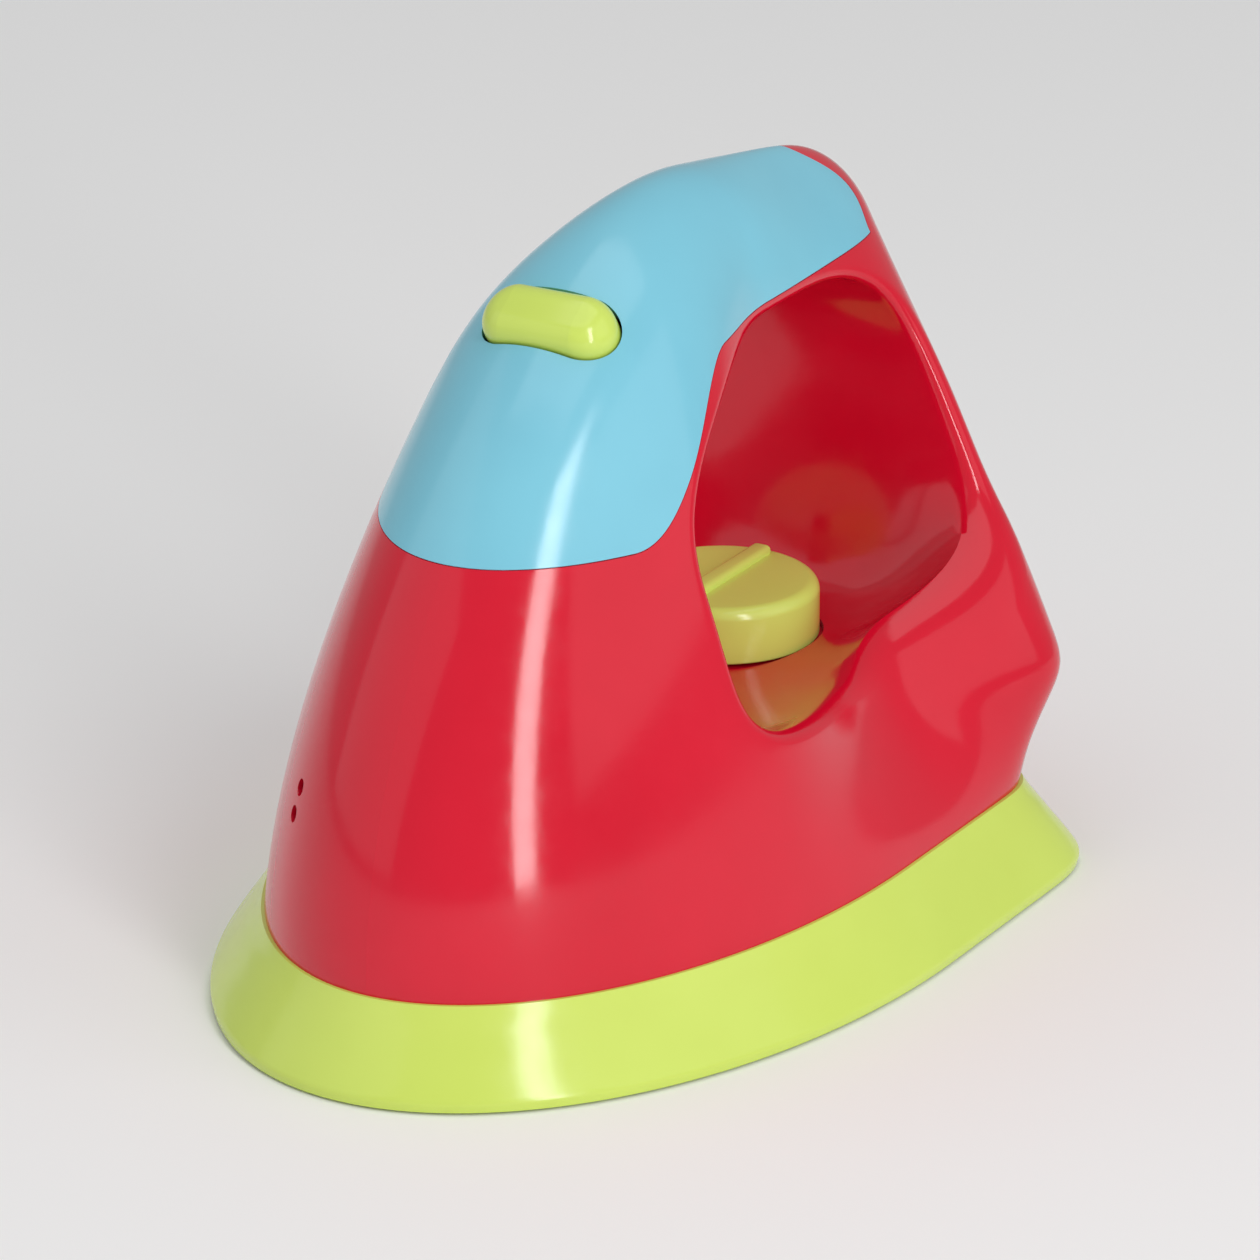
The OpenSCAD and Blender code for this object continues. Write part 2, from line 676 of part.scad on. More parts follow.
// Outline of the body's foot, set out by e, nose to heel on the left
function foot_half(e) = concat(
    [for (i = [0 : nose_steps])
        let (a = 90 * i / nose_steps)
        [mix(core_x, body_l / 2 + e, cos(a)), i == 0 ? 0 : (body_w / 2 + e) * sin(a)]],
    [for (i = [0 : heel_steps])
        let (a = 90 * i / heel_steps)
        [mix(heel_core, -body_l / 2 - e, pow(sin(a), 2 / heel_power)),
            i == heel_steps ? 0 : (body_w / 2 + e) * cos(a)]]);
function foot(e) = let (h = foot_half(e), n = len(h))
    concat(h, [for (i = [n - 2 : -1 : 1]) [h[i][0], -h[i][1]]]);

// Lime flared band round the base
flare_shares = [0, 0.16, 0.35, 0.56, 0.75, 0.91, 1, 0.98];
height_shares = [1, 0.84, 0.68, 0.5, 0.34, 0.2, 0.1, 0];
module base_skirt() {
    outer = [for (i = [0 : len(flare_shares) - 1])
        [mix(skirt_step, skirt_flare, flare_shares[i]), mix(skirt_lift, skirt_h, height_shares[i])]];
    step = skirt_flare - skirt_lip;
    section = concat(outer, [
        [step, skirt_lift],
        [step, sole_t + fit_gap],
        [step - skirt_lip - overrun, sole_t + fit_gap],
        [-wall, skirt_h - wall],
        [-ledge_w, skirt_h - wall],
        [-ledge_w, skirt_h]]);
    rings = [for (s = section) foot(s[0])];
    n = len(rings[0]);
    m = len(section);
    color("yellowgreen")
    polyhedron(
        points = [for (i = [0 : n - 1], j = [0 : m - 1]) [rings[j][i][0], rings[j][i][1], section[j][1]]],
        faces = tube_faces(n, m, true),
        convexity = 6);
}

// Flat plate that closes the base
module sole_plate() {
    color("yellowgreen")
    difference() {
        linear_extrude(height = sole_t)
            polygon(foot(skirt_flare - skirt_lip - sole_gap));
        for (p = pillar_at, s = [-1, 1])
            translate([p[0], s * p[1], -overrun]) {
                cylinder(r = screw_r + fit_gap, h = sole_t + 2 * overrun);
                cylinder(r = head_r + head_gap, h = head_h + overrun);
            }
    }
}

// Screw that points up, its head's seat at zero
cross_share = 0.28;
module screw(r, l, top_r, top_h) {
    difference() {
        union() {
            cylinder(r = r, h = l);
            translate([0, 0, -top_h])
                cylinder(r = top_r, h = top_h);
        }
        for (a = [0, 90])
            rotate([0, 0, a])
                translate([-top_r * half_share, -top_r * cross_share / 2, -top_h - overrun])
                    cube([top_r, top_r * cross_share, overrun + top_h * half_share]);
    }
}

// Lime push button with its stem
module steam_button() {
    spring_room = spring_r + wire_r + contact_gap;
    color("yellowgreen")
    at_button()
    difference() {
        union() {
            difference() {
                intersection() {
                    translate([0, 0, -button_drop])
                        bar(button_l, button_w, button_drop + button_rise);
                    translate([0, 0, button_rise - button_crown_r])
                        rotate([0, 90, 0])
                            cylinder(r = button_crown_r, h = button_w + overrun, center = true, $fn = 96);
                }
                translate([0, 0, -button_drop - overrun])
                    cylinder(r = spring_room, h = button_drop + overrun - spring_top);
            }
            translate([0, 0, -guide_drop - guide_t - fit_gap])
                cylinder(r = stem_r, h = guide_drop + guide_t + fit_gap);
        }
        translate([0, 0, -guide_drop - guide_t - fit_gap - overrun])
            cylinder(r = small_r, h = small_l - washer_t + overrun);
    }
}

// Bridge under the cover that guides the stem
module button_guide() {
    color("whitesmoke")
    at_button()
    translate([0, 0, -guide_drop])
    difference() {
        union() {
            translate([0, 0, -guide_t])
                rotate([0, 0, 90])
                    bar(2 * guide_reach + 2 * guide_boss_r, 2 * guide_boss_r, guide_t);
            translate([0, 0, -guide_t])
                cylinder(r = collar_r, h = guide_t + collar_h);
        }
        translate([0, 0, -guide_t - overrun])
            cylinder(r = stem_r + stem_gap, h = guide_t + collar_h + 2 * overrun);
        for (s = [-1, 1])
            translate([s * guide_reach, 0, -guide_t - overrun])
                cylinder(r = small_r + fit_gap, h = guide_t + 2 * overrun);
    }
}

// Coil spring round the stem
ring_steps = 8;
wire_sides = 6;
module button_spring() {
    low = wire_r - guide_drop + fit_gap;
    high = -spring_top - wire_r - fit_gap;
    n = spring_turns * ring_steps + 1;
    pitch = (high - low) / spring_turns;
    echo(spring_self_gap = pitch - 2 * wire_r);
    color("silver")
    at_button()
    polyhedron(
        points = [for (i = [0 : n - 1], j = [0 : wire_sides - 1])
            let (a = 360 * i / ring_steps, b = 360 * j / wire_sides, r = spring_r + wire_r * cos(b))
            [r * cos(a), r * sin(a), mix(low, high, i / (n - 1)) + wire_r * sin(b)]],
        faces = concat(
            tube_faces(n, wire_sides, false),
            [[for (j = [0 : wire_sides - 1]) j]],
            [[for (j = [wire_sides - 1 : -1 : 0]) (n - 1) * wire_sides + j]]));
}

// Washer that stops the stem below the guide
module button_washer() {
    color("silver")
    at_button()
    translate([0, 0, -guide_drop - guide_t - fit_gap - washer_t])
    difference() {
        cylinder(r = stop_r, h = washer_t);
        translate([0, 0, -overrun])
            cylinder(r = small_r + fit_gap, h = washer_t + 2 * overrun);
    }
}

// Screw up into the stem
module button_screw() {
    color("gray")
    at_button()
    translate([0, 0, -guide_drop - guide_t - fit_gap - washer_t])
        screw(small_r, small_l, small_head_r, small_head_h);
}

// Two screws up into the cover's bosses
module guide_screws() {
    color("gray")
    at_button()
    for (s = [-1, 1])
        translate([s * guide_reach, 0, -guide_drop - guide_t])
            screw(small_r, small_l, small_head_r, small_head_h);
}

// Heights of the dial's stack below the floor
low_flange_z = seat_z - wall - contact_gap;
wheel_z = low_flange_z - bush_low_t - contact_gap - wheel_t;
shaft_end = wheel_z - fit_gap;

// Lime dial with its shaft
module dial_knob() {
    foot_z = seat_z + dial_lift;
    hollow_r = bush_top_r + overrun;
    hollow_z = seat_z + bush_top_t + dial_lift;
    top = foot_z + dial_h;
    color("yellowgreen")
    translate([dial_x, 0, 0])
    difference() {
        union() {
            rotate_extrude($fn = 64)
                polygon(concat(
                    [[0, shaft_end], [shaft_r, shaft_end], [shaft_r, hollow_z], [hollow_r, hollow_z],
                        [hollow_r, foot_z], [dial_r, foot_z]],
                    [for (a = [0 : 18 : 90])
                        [dial_r - dial_round * (1 - cos(a)), top - dial_round * (1 - sin(a))]],
                    [[0, top]]));
            translate([dial_round - dial_r, -grip_w / 2, top - overrun])
                cube([2 * (dial_r - dial_round), grip_w, grip_h + overrun]);
        }
        translate([0, 0, shaft_end - overrun])
            cylinder(r = small_r, h = small_l - washer_t + overrun);
    }
}

// Grooved bush that the two halves clamp
module dial_bush() {
    click_low = low_flange_z - bush_low_t;
    color("whitesmoke")
    translate([dial_x, 0, 0])
    difference() {
        union() {
            translate([0, 0, seat_z])
                cylinder(r = bush_top_r, h = bush_top_t);
            translate([0, 0, low_flange_z - overrun])
                cylinder(r = neck_r, h = seat_z - low_flange_z + 2 * overrun);
            translate([0, 0, click_low])
                cylinder(r = bush_low_r, h = bush_low_t);
        }
        translate([0, 0, click_low - overrun])
            cylinder(r = shaft_r + shaft_gap, h = seat_z + bush_top_t - click_low + 2 * overrun);
        translate([leaf_x, leaf_y, click_low - overrun])
            cylinder(r = small_r, h = bush_low_t + 2 * overrun);
    }
}

// Notched wheel on the shaft
module click_wheel() {
    color("ivory")
    translate([dial_x, 0, wheel_z])
    difference() {
        cylinder(r = wheel_r, h = wheel_t);
        translate([0, 0, -overrun])
            cylinder(r = shaft_r, h = wheel_t + 2 * overrun);
        for (i = [0 : notch_n - 1])
            rotate([0, 0, 360 * i / notch_n])
                translate([0, wheel_r + notch_r * half_share, -overrun])
                    cylinder(r = notch_r, h = wheel_t + 2 * overrun, $fn = 24);
    }
}

// Leaf spring beside the wheel, with a foot under the bush
leaf_x = 12;
leaf_y = 7;
foot_half_w = 2.2;
leaf_tail = 2;
module click_spring() {
    strip_y = wheel_r + notch_r * half_share + nub_r * half_share;
    foot_top = low_flange_z - bush_low_t;
    color("silver")
    translate([dial_x, 0, 0])
    difference() {
        union() {
            translate([leaf_x - foot_half_w, leaf_y - foot_half_w, foot_top - leaf_t])
                cube([2 * foot_half_w, strip_y + leaf_t - leaf_y + foot_half_w, leaf_t]);
            translate([-leaf_tail, strip_y, wheel_z])
                cube([leaf_x + foot_half_w + leaf_tail, leaf_t, foot_top - wheel_z]);
            translate([0, strip_y, wheel_z])
                cylinder(r = nub_r, h = wheel_t, $fn = 24);
        }
        translate([leaf_x, leaf_y, foot_top - leaf_t - overrun])
            cylinder(r = small_r + fit_gap, h = leaf_t + 2 * overrun);
    }
}

// Screw that holds the leaf spring's foot
module click_screw() {
    color("gray")
    translate([dial_x + leaf_x, leaf_y, low_flange_z - bush_low_t - leaf_t])
        screw(small_r, bush_low_t + leaf_t, small_head_r, small_head_h);
}

// Washer under the notched wheel
module dial_washer() {
    color("silver")
    translate([dial_x, 0, shaft_end - washer_t])
    difference() {
        cylinder(r = dial_washer_r, h = washer_t);
        translate([0, 0, -overrun])
            cylinder(r = small_r + fit_gap, h = washer_t + 2 * overrun);
    }
}

// Screw up into the dial's shaft
module dial_screw() {
    color("gray")
    translate([dial_x, 0, shaft_end - washer_t])
        screw(small_r, small_l, small_head_r, small_head_h);
}

// Screws from the right half into the left half's bosses
module shell_screws() {
    color("gray")
    for (p = boss_at)
        translate([p[0], -seat_depth, p[1]])
            rotate([-90, 0, 0])
                screw(screw_r, screw_l, head_r, head_h);
}

// Screws from below into the pillars
module sole_screws() {
    color("gray")
    for (p = pillar_at, s = [-1, 1])
        translate([p[0], s * p[1], head_h])
            screw(screw_r, screw_l, head_r, head_h);
}

left_shell();
right_shell();
top_cover();
base_skirt();
sole_plate();
steam_button();
button_guide();
button_spring();
button_washer();
button_screw();
guide_screws();
dial_knob();
dial_bush();
click_wheel();
click_spring();
click_screw();
dial_washer();
dial_screw();
shell_screws();
sole_screws();
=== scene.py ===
# Toy iron: the looks of its moulded pieces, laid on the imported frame.
import math

import bmesh
import bpy
import numpy as np
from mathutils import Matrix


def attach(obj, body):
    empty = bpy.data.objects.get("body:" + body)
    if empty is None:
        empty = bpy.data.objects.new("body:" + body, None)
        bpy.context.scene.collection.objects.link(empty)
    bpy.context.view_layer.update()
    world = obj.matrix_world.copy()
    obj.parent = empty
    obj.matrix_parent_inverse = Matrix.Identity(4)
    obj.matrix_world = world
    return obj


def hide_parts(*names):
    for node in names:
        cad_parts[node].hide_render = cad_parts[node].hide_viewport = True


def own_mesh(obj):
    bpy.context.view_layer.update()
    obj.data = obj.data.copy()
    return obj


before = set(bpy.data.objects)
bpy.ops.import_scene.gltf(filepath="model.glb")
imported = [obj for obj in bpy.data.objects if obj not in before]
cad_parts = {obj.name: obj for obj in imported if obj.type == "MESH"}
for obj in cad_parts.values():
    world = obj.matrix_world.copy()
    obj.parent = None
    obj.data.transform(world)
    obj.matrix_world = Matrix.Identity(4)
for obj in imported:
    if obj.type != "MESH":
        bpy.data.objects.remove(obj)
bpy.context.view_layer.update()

# Body halves. Two glossy red mouldings that meet on the middle plane, each with half of the
# hand opening: its rolled rim, its lining and its dished floor. Screws from the right draw
# them together, and pillars under the floor take the screws of the sole.
BODY_LENGTH, BODY_WIDTH, BODY_TOP, FOOT_Z = 124.0, 85.0, 108.4, 13.0
BODY_HEIGHT = BODY_TOP - FOOT_Z
NOSE_X, SIDE_Y = BODY_LENGTH / 2, BODY_WIDTH / 2
NOSE_LEAN, NOSE_POWER, NOSE_TAPER, NOSE_STRAIGHT = 64.604, 2.02, 28.22, 0.332
WIDEST_X, WIDEST_SHIFT, HEEL_X, HEEL_POWER = -14.012, 14.012, -40.052, 4.2
CROWN_Z, CROWN_POWER, TOP_SLOPE = 90.083, 2.55, 0.168
LIP_Z, LIP_REACH, LIP_START, LIP_WIDTH = 29.981, 8.0, 0.12, 47.558
POST_LEAN, POST_TAPER, POST_STRAIGHT = 0.02, 49.13, 0.713
OPEN_X, OPEN_Z, OPEN_FRONT, OPEN_REAR = -27.032, 60.509, 41.292, 31.0
OPEN_TOP, OPEN_LOW, FLOOR_LOW, FLOOR_POWER = 26.521, 22.991, 28.095, 6
SADDLE_RISE, SADDLE_X, SADDLE_SPAN = 1.2, 4.0, 26.0
LEDGE_X, LEDGE_SLOPE, LEDGE_SOFT = -22.0, 0.14, 4.0
RIM_ROUND, REAR_ROUND, WALL, LIP_SHARE = 2.2, 4.2, 1.7, 0.45


def ease(t):
    c = np.clip(t, 0, 1)
    return c * c * (3 - 2 * c)


def mix(a, b, t):
    return a + (b - a) * t


def softened(line, z):
    taps = ((0.1, -3.0), (0.24, -1.5), (0.32, 0.0), (0.24, 1.5), (0.1, 3.0))
    return sum(share * line(z + step) for share, step in taps)


def front_line(z):
    return NOSE_X - NOSE_LEAN * np.maximum(0, (z - FOOT_Z) / BODY_HEIGHT) ** NOSE_POWER


def sharp_back(z):
    above = POST_LEAN * (z - LIP_Z) - (NOSE_X + LIP_REACH)
    rise = (z - FOOT_Z) / (LIP_Z - FOOT_Z)
    below = -NOSE_X - LIP_REACH * ease((rise - LIP_START) / (1 - LIP_START))
    return np.where(z >= LIP_Z, above, below)


def back_line(z):
    return softened(sharp_back, z)


def post_width(z):
    q = (z - LIP_Z) / (BODY_TOP - LIP_Z)
    low = mix(SIDE_Y, LIP_WIDTH, (z - FOOT_Z) / (LIP_Z - FOOT_Z))
    high = LIP_WIDTH - POST_TAPER * (POST_STRAIGHT * q + (1 - POST_STRAIGHT) * q * q)
    return np.where(z < LIP_Z, low, high)


def half_width(x, z):
    u = (z - FOOT_Z) / BODY_HEIGHT
    curve = np.maximum(0, u) ** 1.45
    nose = SIDE_Y - NOSE_TAPER * (NOSE_STRAIGHT * u + (1 - NOSE_STRAIGHT) * curve)
    waist = nose * (1 - 0.17 * ease(u / 0.252) - 0.178 * ease((u - 0.283) / 0.524))
    post = softened(post_width, z)
    back = -x / BODY_LENGTH
    return mix(mix(nose, waist, ease((back + 0.097) / 0.298)), post, ease((back - 0.202) / 0.282))


def past_outline(x, z, inward=0.0):
    widest = WIDEST_X - WIDEST_SHIFT * ease(((z - FOOT_Z) / BODY_HEIGHT - 0.765) / 0.231)
    nose = (np.maximum(0, x - widest) / (front_line(z) - inward - widest)) ** 2
    heel = (np.maximum(0, HEEL_X - x) / (HEEL_X - back_line(z) - inward)) ** HEEL_POWER
    top = BODY_TOP + TOP_SLOPE * (x - WIDEST_X) - inward
    crown = (np.maximum(0, z - CROWN_Z) / np.maximum(1, top - CROWN_Z)) ** CROWN_POWER
    return nose + heel + crown


def flank(x, z, inward=0.0):
    room = np.maximum(0, 1 - past_outline(x, z, inward))
    return np.maximum(half_width(x, z) - inward, 0) * np.sqrt(room)


def open_reach(x):
    return np.abs(x - OPEN_X) / np.where(x > OPEN_X, OPEN_FRONT, OPEN_REAR)


def past_rim(x, z):
    upper = np.where(x > OPEN_X, 2.2, 4.0)
    lower = np.where(x > OPEN_X, 5.5, 3.2)
    power = np.where(z > OPEN_Z, upper, lower)
    ledge = LEDGE_SLOPE * (np.hypot(x - LEDGE_X, LEDGE_SOFT) - (x - LEDGE_X))
    saddle = SADDLE_RISE * ease((SADDLE_X - x) / SADDLE_SPAN) - ledge
    height = np.where(z > OPEN_Z, OPEN_TOP, OPEN_LOW + saddle)
    return open_reach(x) ** power + (np.abs(z - OPEN_Z) / height) ** power


def past_floor(x, z):
    depth = np.abs(z - OPEN_Z) / FLOOR_LOW
    floor = open_reach(x) ** FLOOR_POWER + depth**FLOOR_POWER
    return np.where(z > OPEN_Z, past_rim(x, z), floor)


def far_along(past, low, high):
    for _ in range(46):
        middle = (low + high) / 2
        inside = past(middle) < 1
        low, high = np.where(inside, middle, low), np.where(inside, high, middle)
    return low


def foot_line(out, nose_steps, heel_steps, side_steps):
    a = np.linspace(0, math.pi / 2, nose_steps)
    wide, reach = SIDE_Y + out, NOSE_X + out
    nose = np.stack([mix(WIDEST_X, reach, np.cos(a)), wide * np.sin(a)], 1)
    side = np.stack([np.linspace(WIDEST_X, HEEL_X, side_steps), np.full(side_steps, wide)], 1)
    a = np.linspace(0, math.pi / 2, heel_steps)
    heel = np.stack([mix(HEEL_X, -reach, np.sin(a) ** (2 / HEEL_POWER)), wide * np.cos(a)], 1)
    heel[-1, 1] = nose[0, 1] = 0
    return np.concatenate([nose, side[1:-1], heel])


def half_skin():
    foot = foot_line(0, 60, 44, 14)[::-1]
    low_a = math.atan2(FOOT_Z - OPEN_Z, NOSE_X - OPEN_X)
    high_a = math.atan2(FOOT_Z - OPEN_Z, -NOSE_X - OPEN_X) + 2 * math.pi
    around = np.linspace(low_a, high_a, 320)
    along = np.arctan2(FOOT_Z - OPEN_Z, foot[1:, 0] - OPEN_X) + 2 * math.pi
    angle = np.concatenate([around, along])
    on_foot = np.arange(len(angle)) >= len(around)
    at_foot = on_foot.copy()
    at_foot[[0, len(around) - 1]] = True
    cos, sin = np.cos(angle), np.sin(angle)

    def at(r):
        return OPEN_X + r * cos, OPEN_Z + r * sin

    zero, far = np.zeros(len(angle)), np.full(len(angle), BODY_LENGTH + 6.0)
    rim = far_along(lambda r: past_rim(*at(r)), zero, far)
    dip = np.where(sin < 0, far_along(lambda r: past_floor(*at(r)), zero, far) - rim, 0)
    edge = far_along(lambda r: past_outline(*at(r)), rim, far)
    edge = np.where(at_foot, (FOOT_Z - OPEN_Z) / np.where(at_foot, sin, 1), edge)
    roll = RIM_ROUND + REAR_ROUND * ease((0.75 - sin) / 1.2) * ease((0.35 - cos) / 0.8)
    lip_y = flank(*at(rim)) - roll
    points = []
    for f in np.linspace(0, 1, 16)[:-1]:
        points.append((rim + dip * (1 - f**3), f * lip_y))
    for t in np.linspace(0, math.pi / 2, 10):
        r = rim + roll * (1 - math.cos(t))
        points.append((r, flank(*at(r)) - roll * (1 - math.sin(t))))
    for t in np.linspace(0, 1, 52)[1:]:
        r = mix(edge, rim + roll, (1 - t) ** 1.8)
        y = flank(*at(r))
        points.append((r, np.where(on_foot, y, 0) if t == 1 else y))
    inner_edge = np.where(at_foot, edge, far_along(lambda r: past_outline(*at(r), WALL), rim, far))
    lip_wall = WALL + LIP_SHARE * (roll - RIM_ROUND)
    inner_lip_y = flank(*at(rim + lip_wall), lip_wall)
    for t in np.linspace(0, 1, 40):
        r = mix(inner_edge, rim + lip_wall, t**1.8)
        y = flank(*at(r), mix(WALL, lip_wall, t**4))
        points.append((r, np.where(at_foot, y, 0) if t == 0 else y))
    for f in np.linspace(1, 0, 12)[1:]:
        points.append((rim + lip_wall + dip * (1 - f**3), f * inner_lip_y))
    points.append(points[0])
    return np.stack([np.stack([at(r)[0], y, at(r)[1]], 1) for r, y in points], 1)


def lay_sheet(name, points):
    rows, columns = points.shape[:2]
    bpy.ops.object.select_all(action="DESELECT")
    bpy.ops.mesh.primitive_grid_add(x_subdivisions=columns - 1, y_subdivisions=rows - 1, size=1)
    piece = bpy.context.object
    piece.name = name
    piece.data.vertices.foreach_set("co", np.ascontiguousarray(points * 0.001).ravel())
    bpy.ops.object.mode_set(mode="EDIT")
    bpy.ops.mesh.select_all(action="SELECT")
    bpy.ops.mesh.remove_doubles(threshold=2e-6)
    bpy.ops.object.mode_set(mode="OBJECT")
    return piece


def turn_faces(piece):
    bpy.ops.object.select_all(action="DESELECT")
    piece.select_set(True)
    bpy.context.view_layer.objects.active = piece
    bpy.ops.object.mode_set(mode="EDIT")
    bpy.ops.mesh.select_all(action="SELECT")
    bpy.ops.mesh.flip_normals()
    bpy.ops.object.mode_set(mode="OBJECT")


def work(piece, kind, **values):
    change = piece.modifiers.new(kind.lower(), kind)
    for key, value in values.items():
        setattr(change, key, value)
    bpy.context.view_layer.objects.active = piece
    bpy.ops.object.modifier_apply(modifier=change.name)


def rod(start, end, radius, sides=40):
    start, end = np.array(start, float), np.array(end, float)
    line = (end - start) / np.linalg.norm(end - start)
    side = np.cross(line, [0, 0, 1] if abs(line[2]) < 0.9 else [1, 0, 0])
    side /= np.linalg.norm(side)
    other = np.cross(line, side)
    a = np.linspace(0, 2 * math.pi, sides + 1)[:, None]
    ring = radius * (np.cos(a) * side + np.sin(a) * other)
    piece = lay_sheet("rod", np.stack([start + ring, end + ring]))
    close_ends(piece)
    return piece


def close_ends(piece):
    bpy.ops.object.select_all(action="DESELECT")
    piece.select_set(True)
    bpy.context.view_layer.objects.active = piece
    bpy.ops.object.mode_set(mode="EDIT")
    bpy.ops.mesh.select_all(action="SELECT")
    bpy.ops.mesh.fill_holes(sides=0)
    bpy.ops.mesh.select_all(action="SELECT")
    bpy.ops.mesh.normals_make_consistent(inside=False)
    bpy.ops.object.mode_set(mode="OBJECT")


def carve(piece, tools, operation):
    bpy.ops.object.select_all(action="DESELECT")
    for tool in tools:
        tool.select_set(True)
    bpy.context.view_layer.objects.active = tools[0]
    if len(tools) > 1:
        bpy.ops.object.join()
    work(piece, "BOOLEAN", object=tools[0], operation=operation, solver="EXACT")
    bpy.data.objects.remove(tools[0])


def drop_fins(piece):
    mesh = bmesh.new()
    mesh.from_mesh(piece.data)
    for _ in range(4):
        same = {}
        for face in mesh.faces:
            same.setdefault(frozenset(face.verts), []).append(face)
        fins = {face for group in same.values() if len(group) > 1 for face in group}
        for face in mesh.faces:
            shared = [len(edge.link_faces) for edge in face.edges]
            if min(shared) == 1 and max(shared) > 2:
                fins.add(face)
        bmesh.ops.delete(mesh, geom=list(fins), context="FACES")
    patch = bmesh.ops.holes_fill(mesh, edges=mesh.edges[:], sides=8)["faces"]
    bmesh.ops.triangulate(mesh, faces=patch)
    bmesh.ops.recalc_face_normals(mesh, faces=mesh.faces[:])
    mesh.to_mesh(piece.data)
    mesh.free()


SLIVER = 8e-6


def smooth(piece, degrees=32):
    bpy.ops.object.select_all(action="DESELECT")
    piece.select_set(True)
    bpy.context.view_layer.objects.active = piece
    bpy.ops.object.mode_set(mode="EDIT")
    bpy.ops.mesh.select_all(action="SELECT")
    bpy.ops.mesh.remove_doubles(threshold=SLIVER)
    bpy.ops.mesh.dissolve_degenerate(threshold=SLIVER)
    bpy.ops.mesh.quads_convert_to_tris(quad_method="BEAUTY", ngon_method="BEAUTY")
    bpy.ops.object.mode_set(mode="OBJECT")
    drop_fins(piece)
    bpy.ops.object.shade_smooth_by_angle(angle=math.radians(degrees))


def linear(r, g, b):
    shares = (r / 255, g / 255, b / 255)
    return [c / 12.92 if c <= 0.04045 else ((c + 0.055) / 1.055) ** 2.4 for c in shares]


def moulded_plastic(name, colour, deep, gloss, dull):
    mat = bpy.data.materials.new(name)
    mat.use_nodes = True
    nodes, links = mat.node_tree.nodes, mat.node_tree.links
    shader = nodes["Principled BSDF"]
    shader.inputs["IOR"].default_value = 1.5
    place = nodes.new("ShaderNodeTexCoord")
    cloud = nodes.new("ShaderNodeTexNoise")
    cloud.inputs["Scale"].default_value = 34.0
    cloud.inputs["Detail"].default_value = 3.0
    tint = nodes.new("ShaderNodeValToRGB")
    tint.color_ramp.elements[0].position = 0.3
    tint.color_ramp.elements[0].color = (*deep, 1)
    tint.color_ramp.elements[1].position = 0.7
    tint.color_ramp.elements[1].color = (*colour, 1)
    rub = nodes.new("ShaderNodeTexNoise")
    rub.inputs["Scale"].default_value = 260.0
    rub.inputs["Detail"].default_value = 6.0
    rub.inputs["Roughness"].default_value = 0.7
    sheen = nodes.new("ShaderNodeMapRange")
    sheen.inputs["From Min"].default_value = 0.35
    sheen.inputs["From Max"].default_value = 0.75
    sheen.inputs["To Min"].default_value = gloss
    sheen.inputs["To Max"].default_value = dull
    skin = nodes.new("ShaderNodeTexNoise")
    skin.inputs["Scale"].default_value = 900.0
    skin.inputs["Detail"].default_value = 2.0
    ripple = nodes.new("ShaderNodeBump")
    ripple.inputs["Strength"].default_value = 0.12
    ripple.inputs["Distance"].default_value = 0.00004
    links.new(place.outputs["Object"], cloud.inputs["Vector"])
    links.new(place.outputs["Object"], rub.inputs["Vector"])
    links.new(place.outputs["Object"], skin.inputs["Vector"])
    links.new(cloud.outputs["Fac"], tint.inputs["Fac"])
    links.new(tint.outputs["Color"], shader.inputs["Base Color"])
    links.new(rub.outputs["Fac"], sheen.inputs["Value"])
    links.new(sheen.outputs["Result"], shader.inputs["Roughness"])
    links.new(skin.outputs["Fac"], ripple.inputs["Height"])
    links.new(ripple.outputs["Normal"], shader.inputs["Normal"])
    return mat


def wear(piece, material):
    piece.data.materials.clear()
    piece.data.materials.append(material)


COVER_GAP, COVER_BACK, COVER_FRONT = 0.14, 58.528, 24.056
COVER_LOW, COVER_RISE, COVER_SWEEP = 68.523, 20.606, 31.0
END_TOP, END_CURVE = 16.0, [8.8e-05, -0.004386, 0.07162, -0.346236, -0.052432, 0.0]
ROOM_REACH, ROOM_UP = 60.0, 21.0


def cover_edge(x):
    return COVER_LOW + COVER_RISE * ease((COVER_FRONT - x) / COVER_SWEEP)


def cover_end(up):
    low = np.minimum(up, END_TOP)
    return -COVER_BACK + np.polyval(END_CURVE, low) + up - low


def cover_room():
    x = np.linspace(ROOM_REACH, -COVER_BACK - COVER_GAP, 120)
    edge = np.stack([x, cover_edge(x) - COVER_GAP], 1)
    up = np.linspace(0, ROOM_UP, 85)[1:]
    rear = np.stack([cover_end(up) - COVER_GAP, edge[-1, 1] + up], 1)
    line = np.concatenate([edge, rear, [[ROOM_REACH, rear[-1, 1]]], edge[:1]])
    rows = []
    for y in (-ROOM_REACH, ROOM_REACH):
        rows.append(np.stack([line[:, 0], np.full(len(line), y), line[:, 1]], 1))
    room = lay_sheet("cover_room", np.stack(rows))
    close_ends(room)
    return room


def boss(x, z, radius, side):
    a = np.linspace(0, 2 * math.pi, 41)
    ring_x, ring_z = x + radius * np.cos(a), z + radius * np.sin(a)
    inner = np.stack([ring_x, np.full(41, 0.05 * side), ring_z], 1)
    outer = np.stack([ring_x, side * (flank(ring_x, ring_z) - 1.0), ring_z], 1)
    piece = lay_sheet("boss", np.stack([inner, outer]))
    close_ends(piece)
    return piece


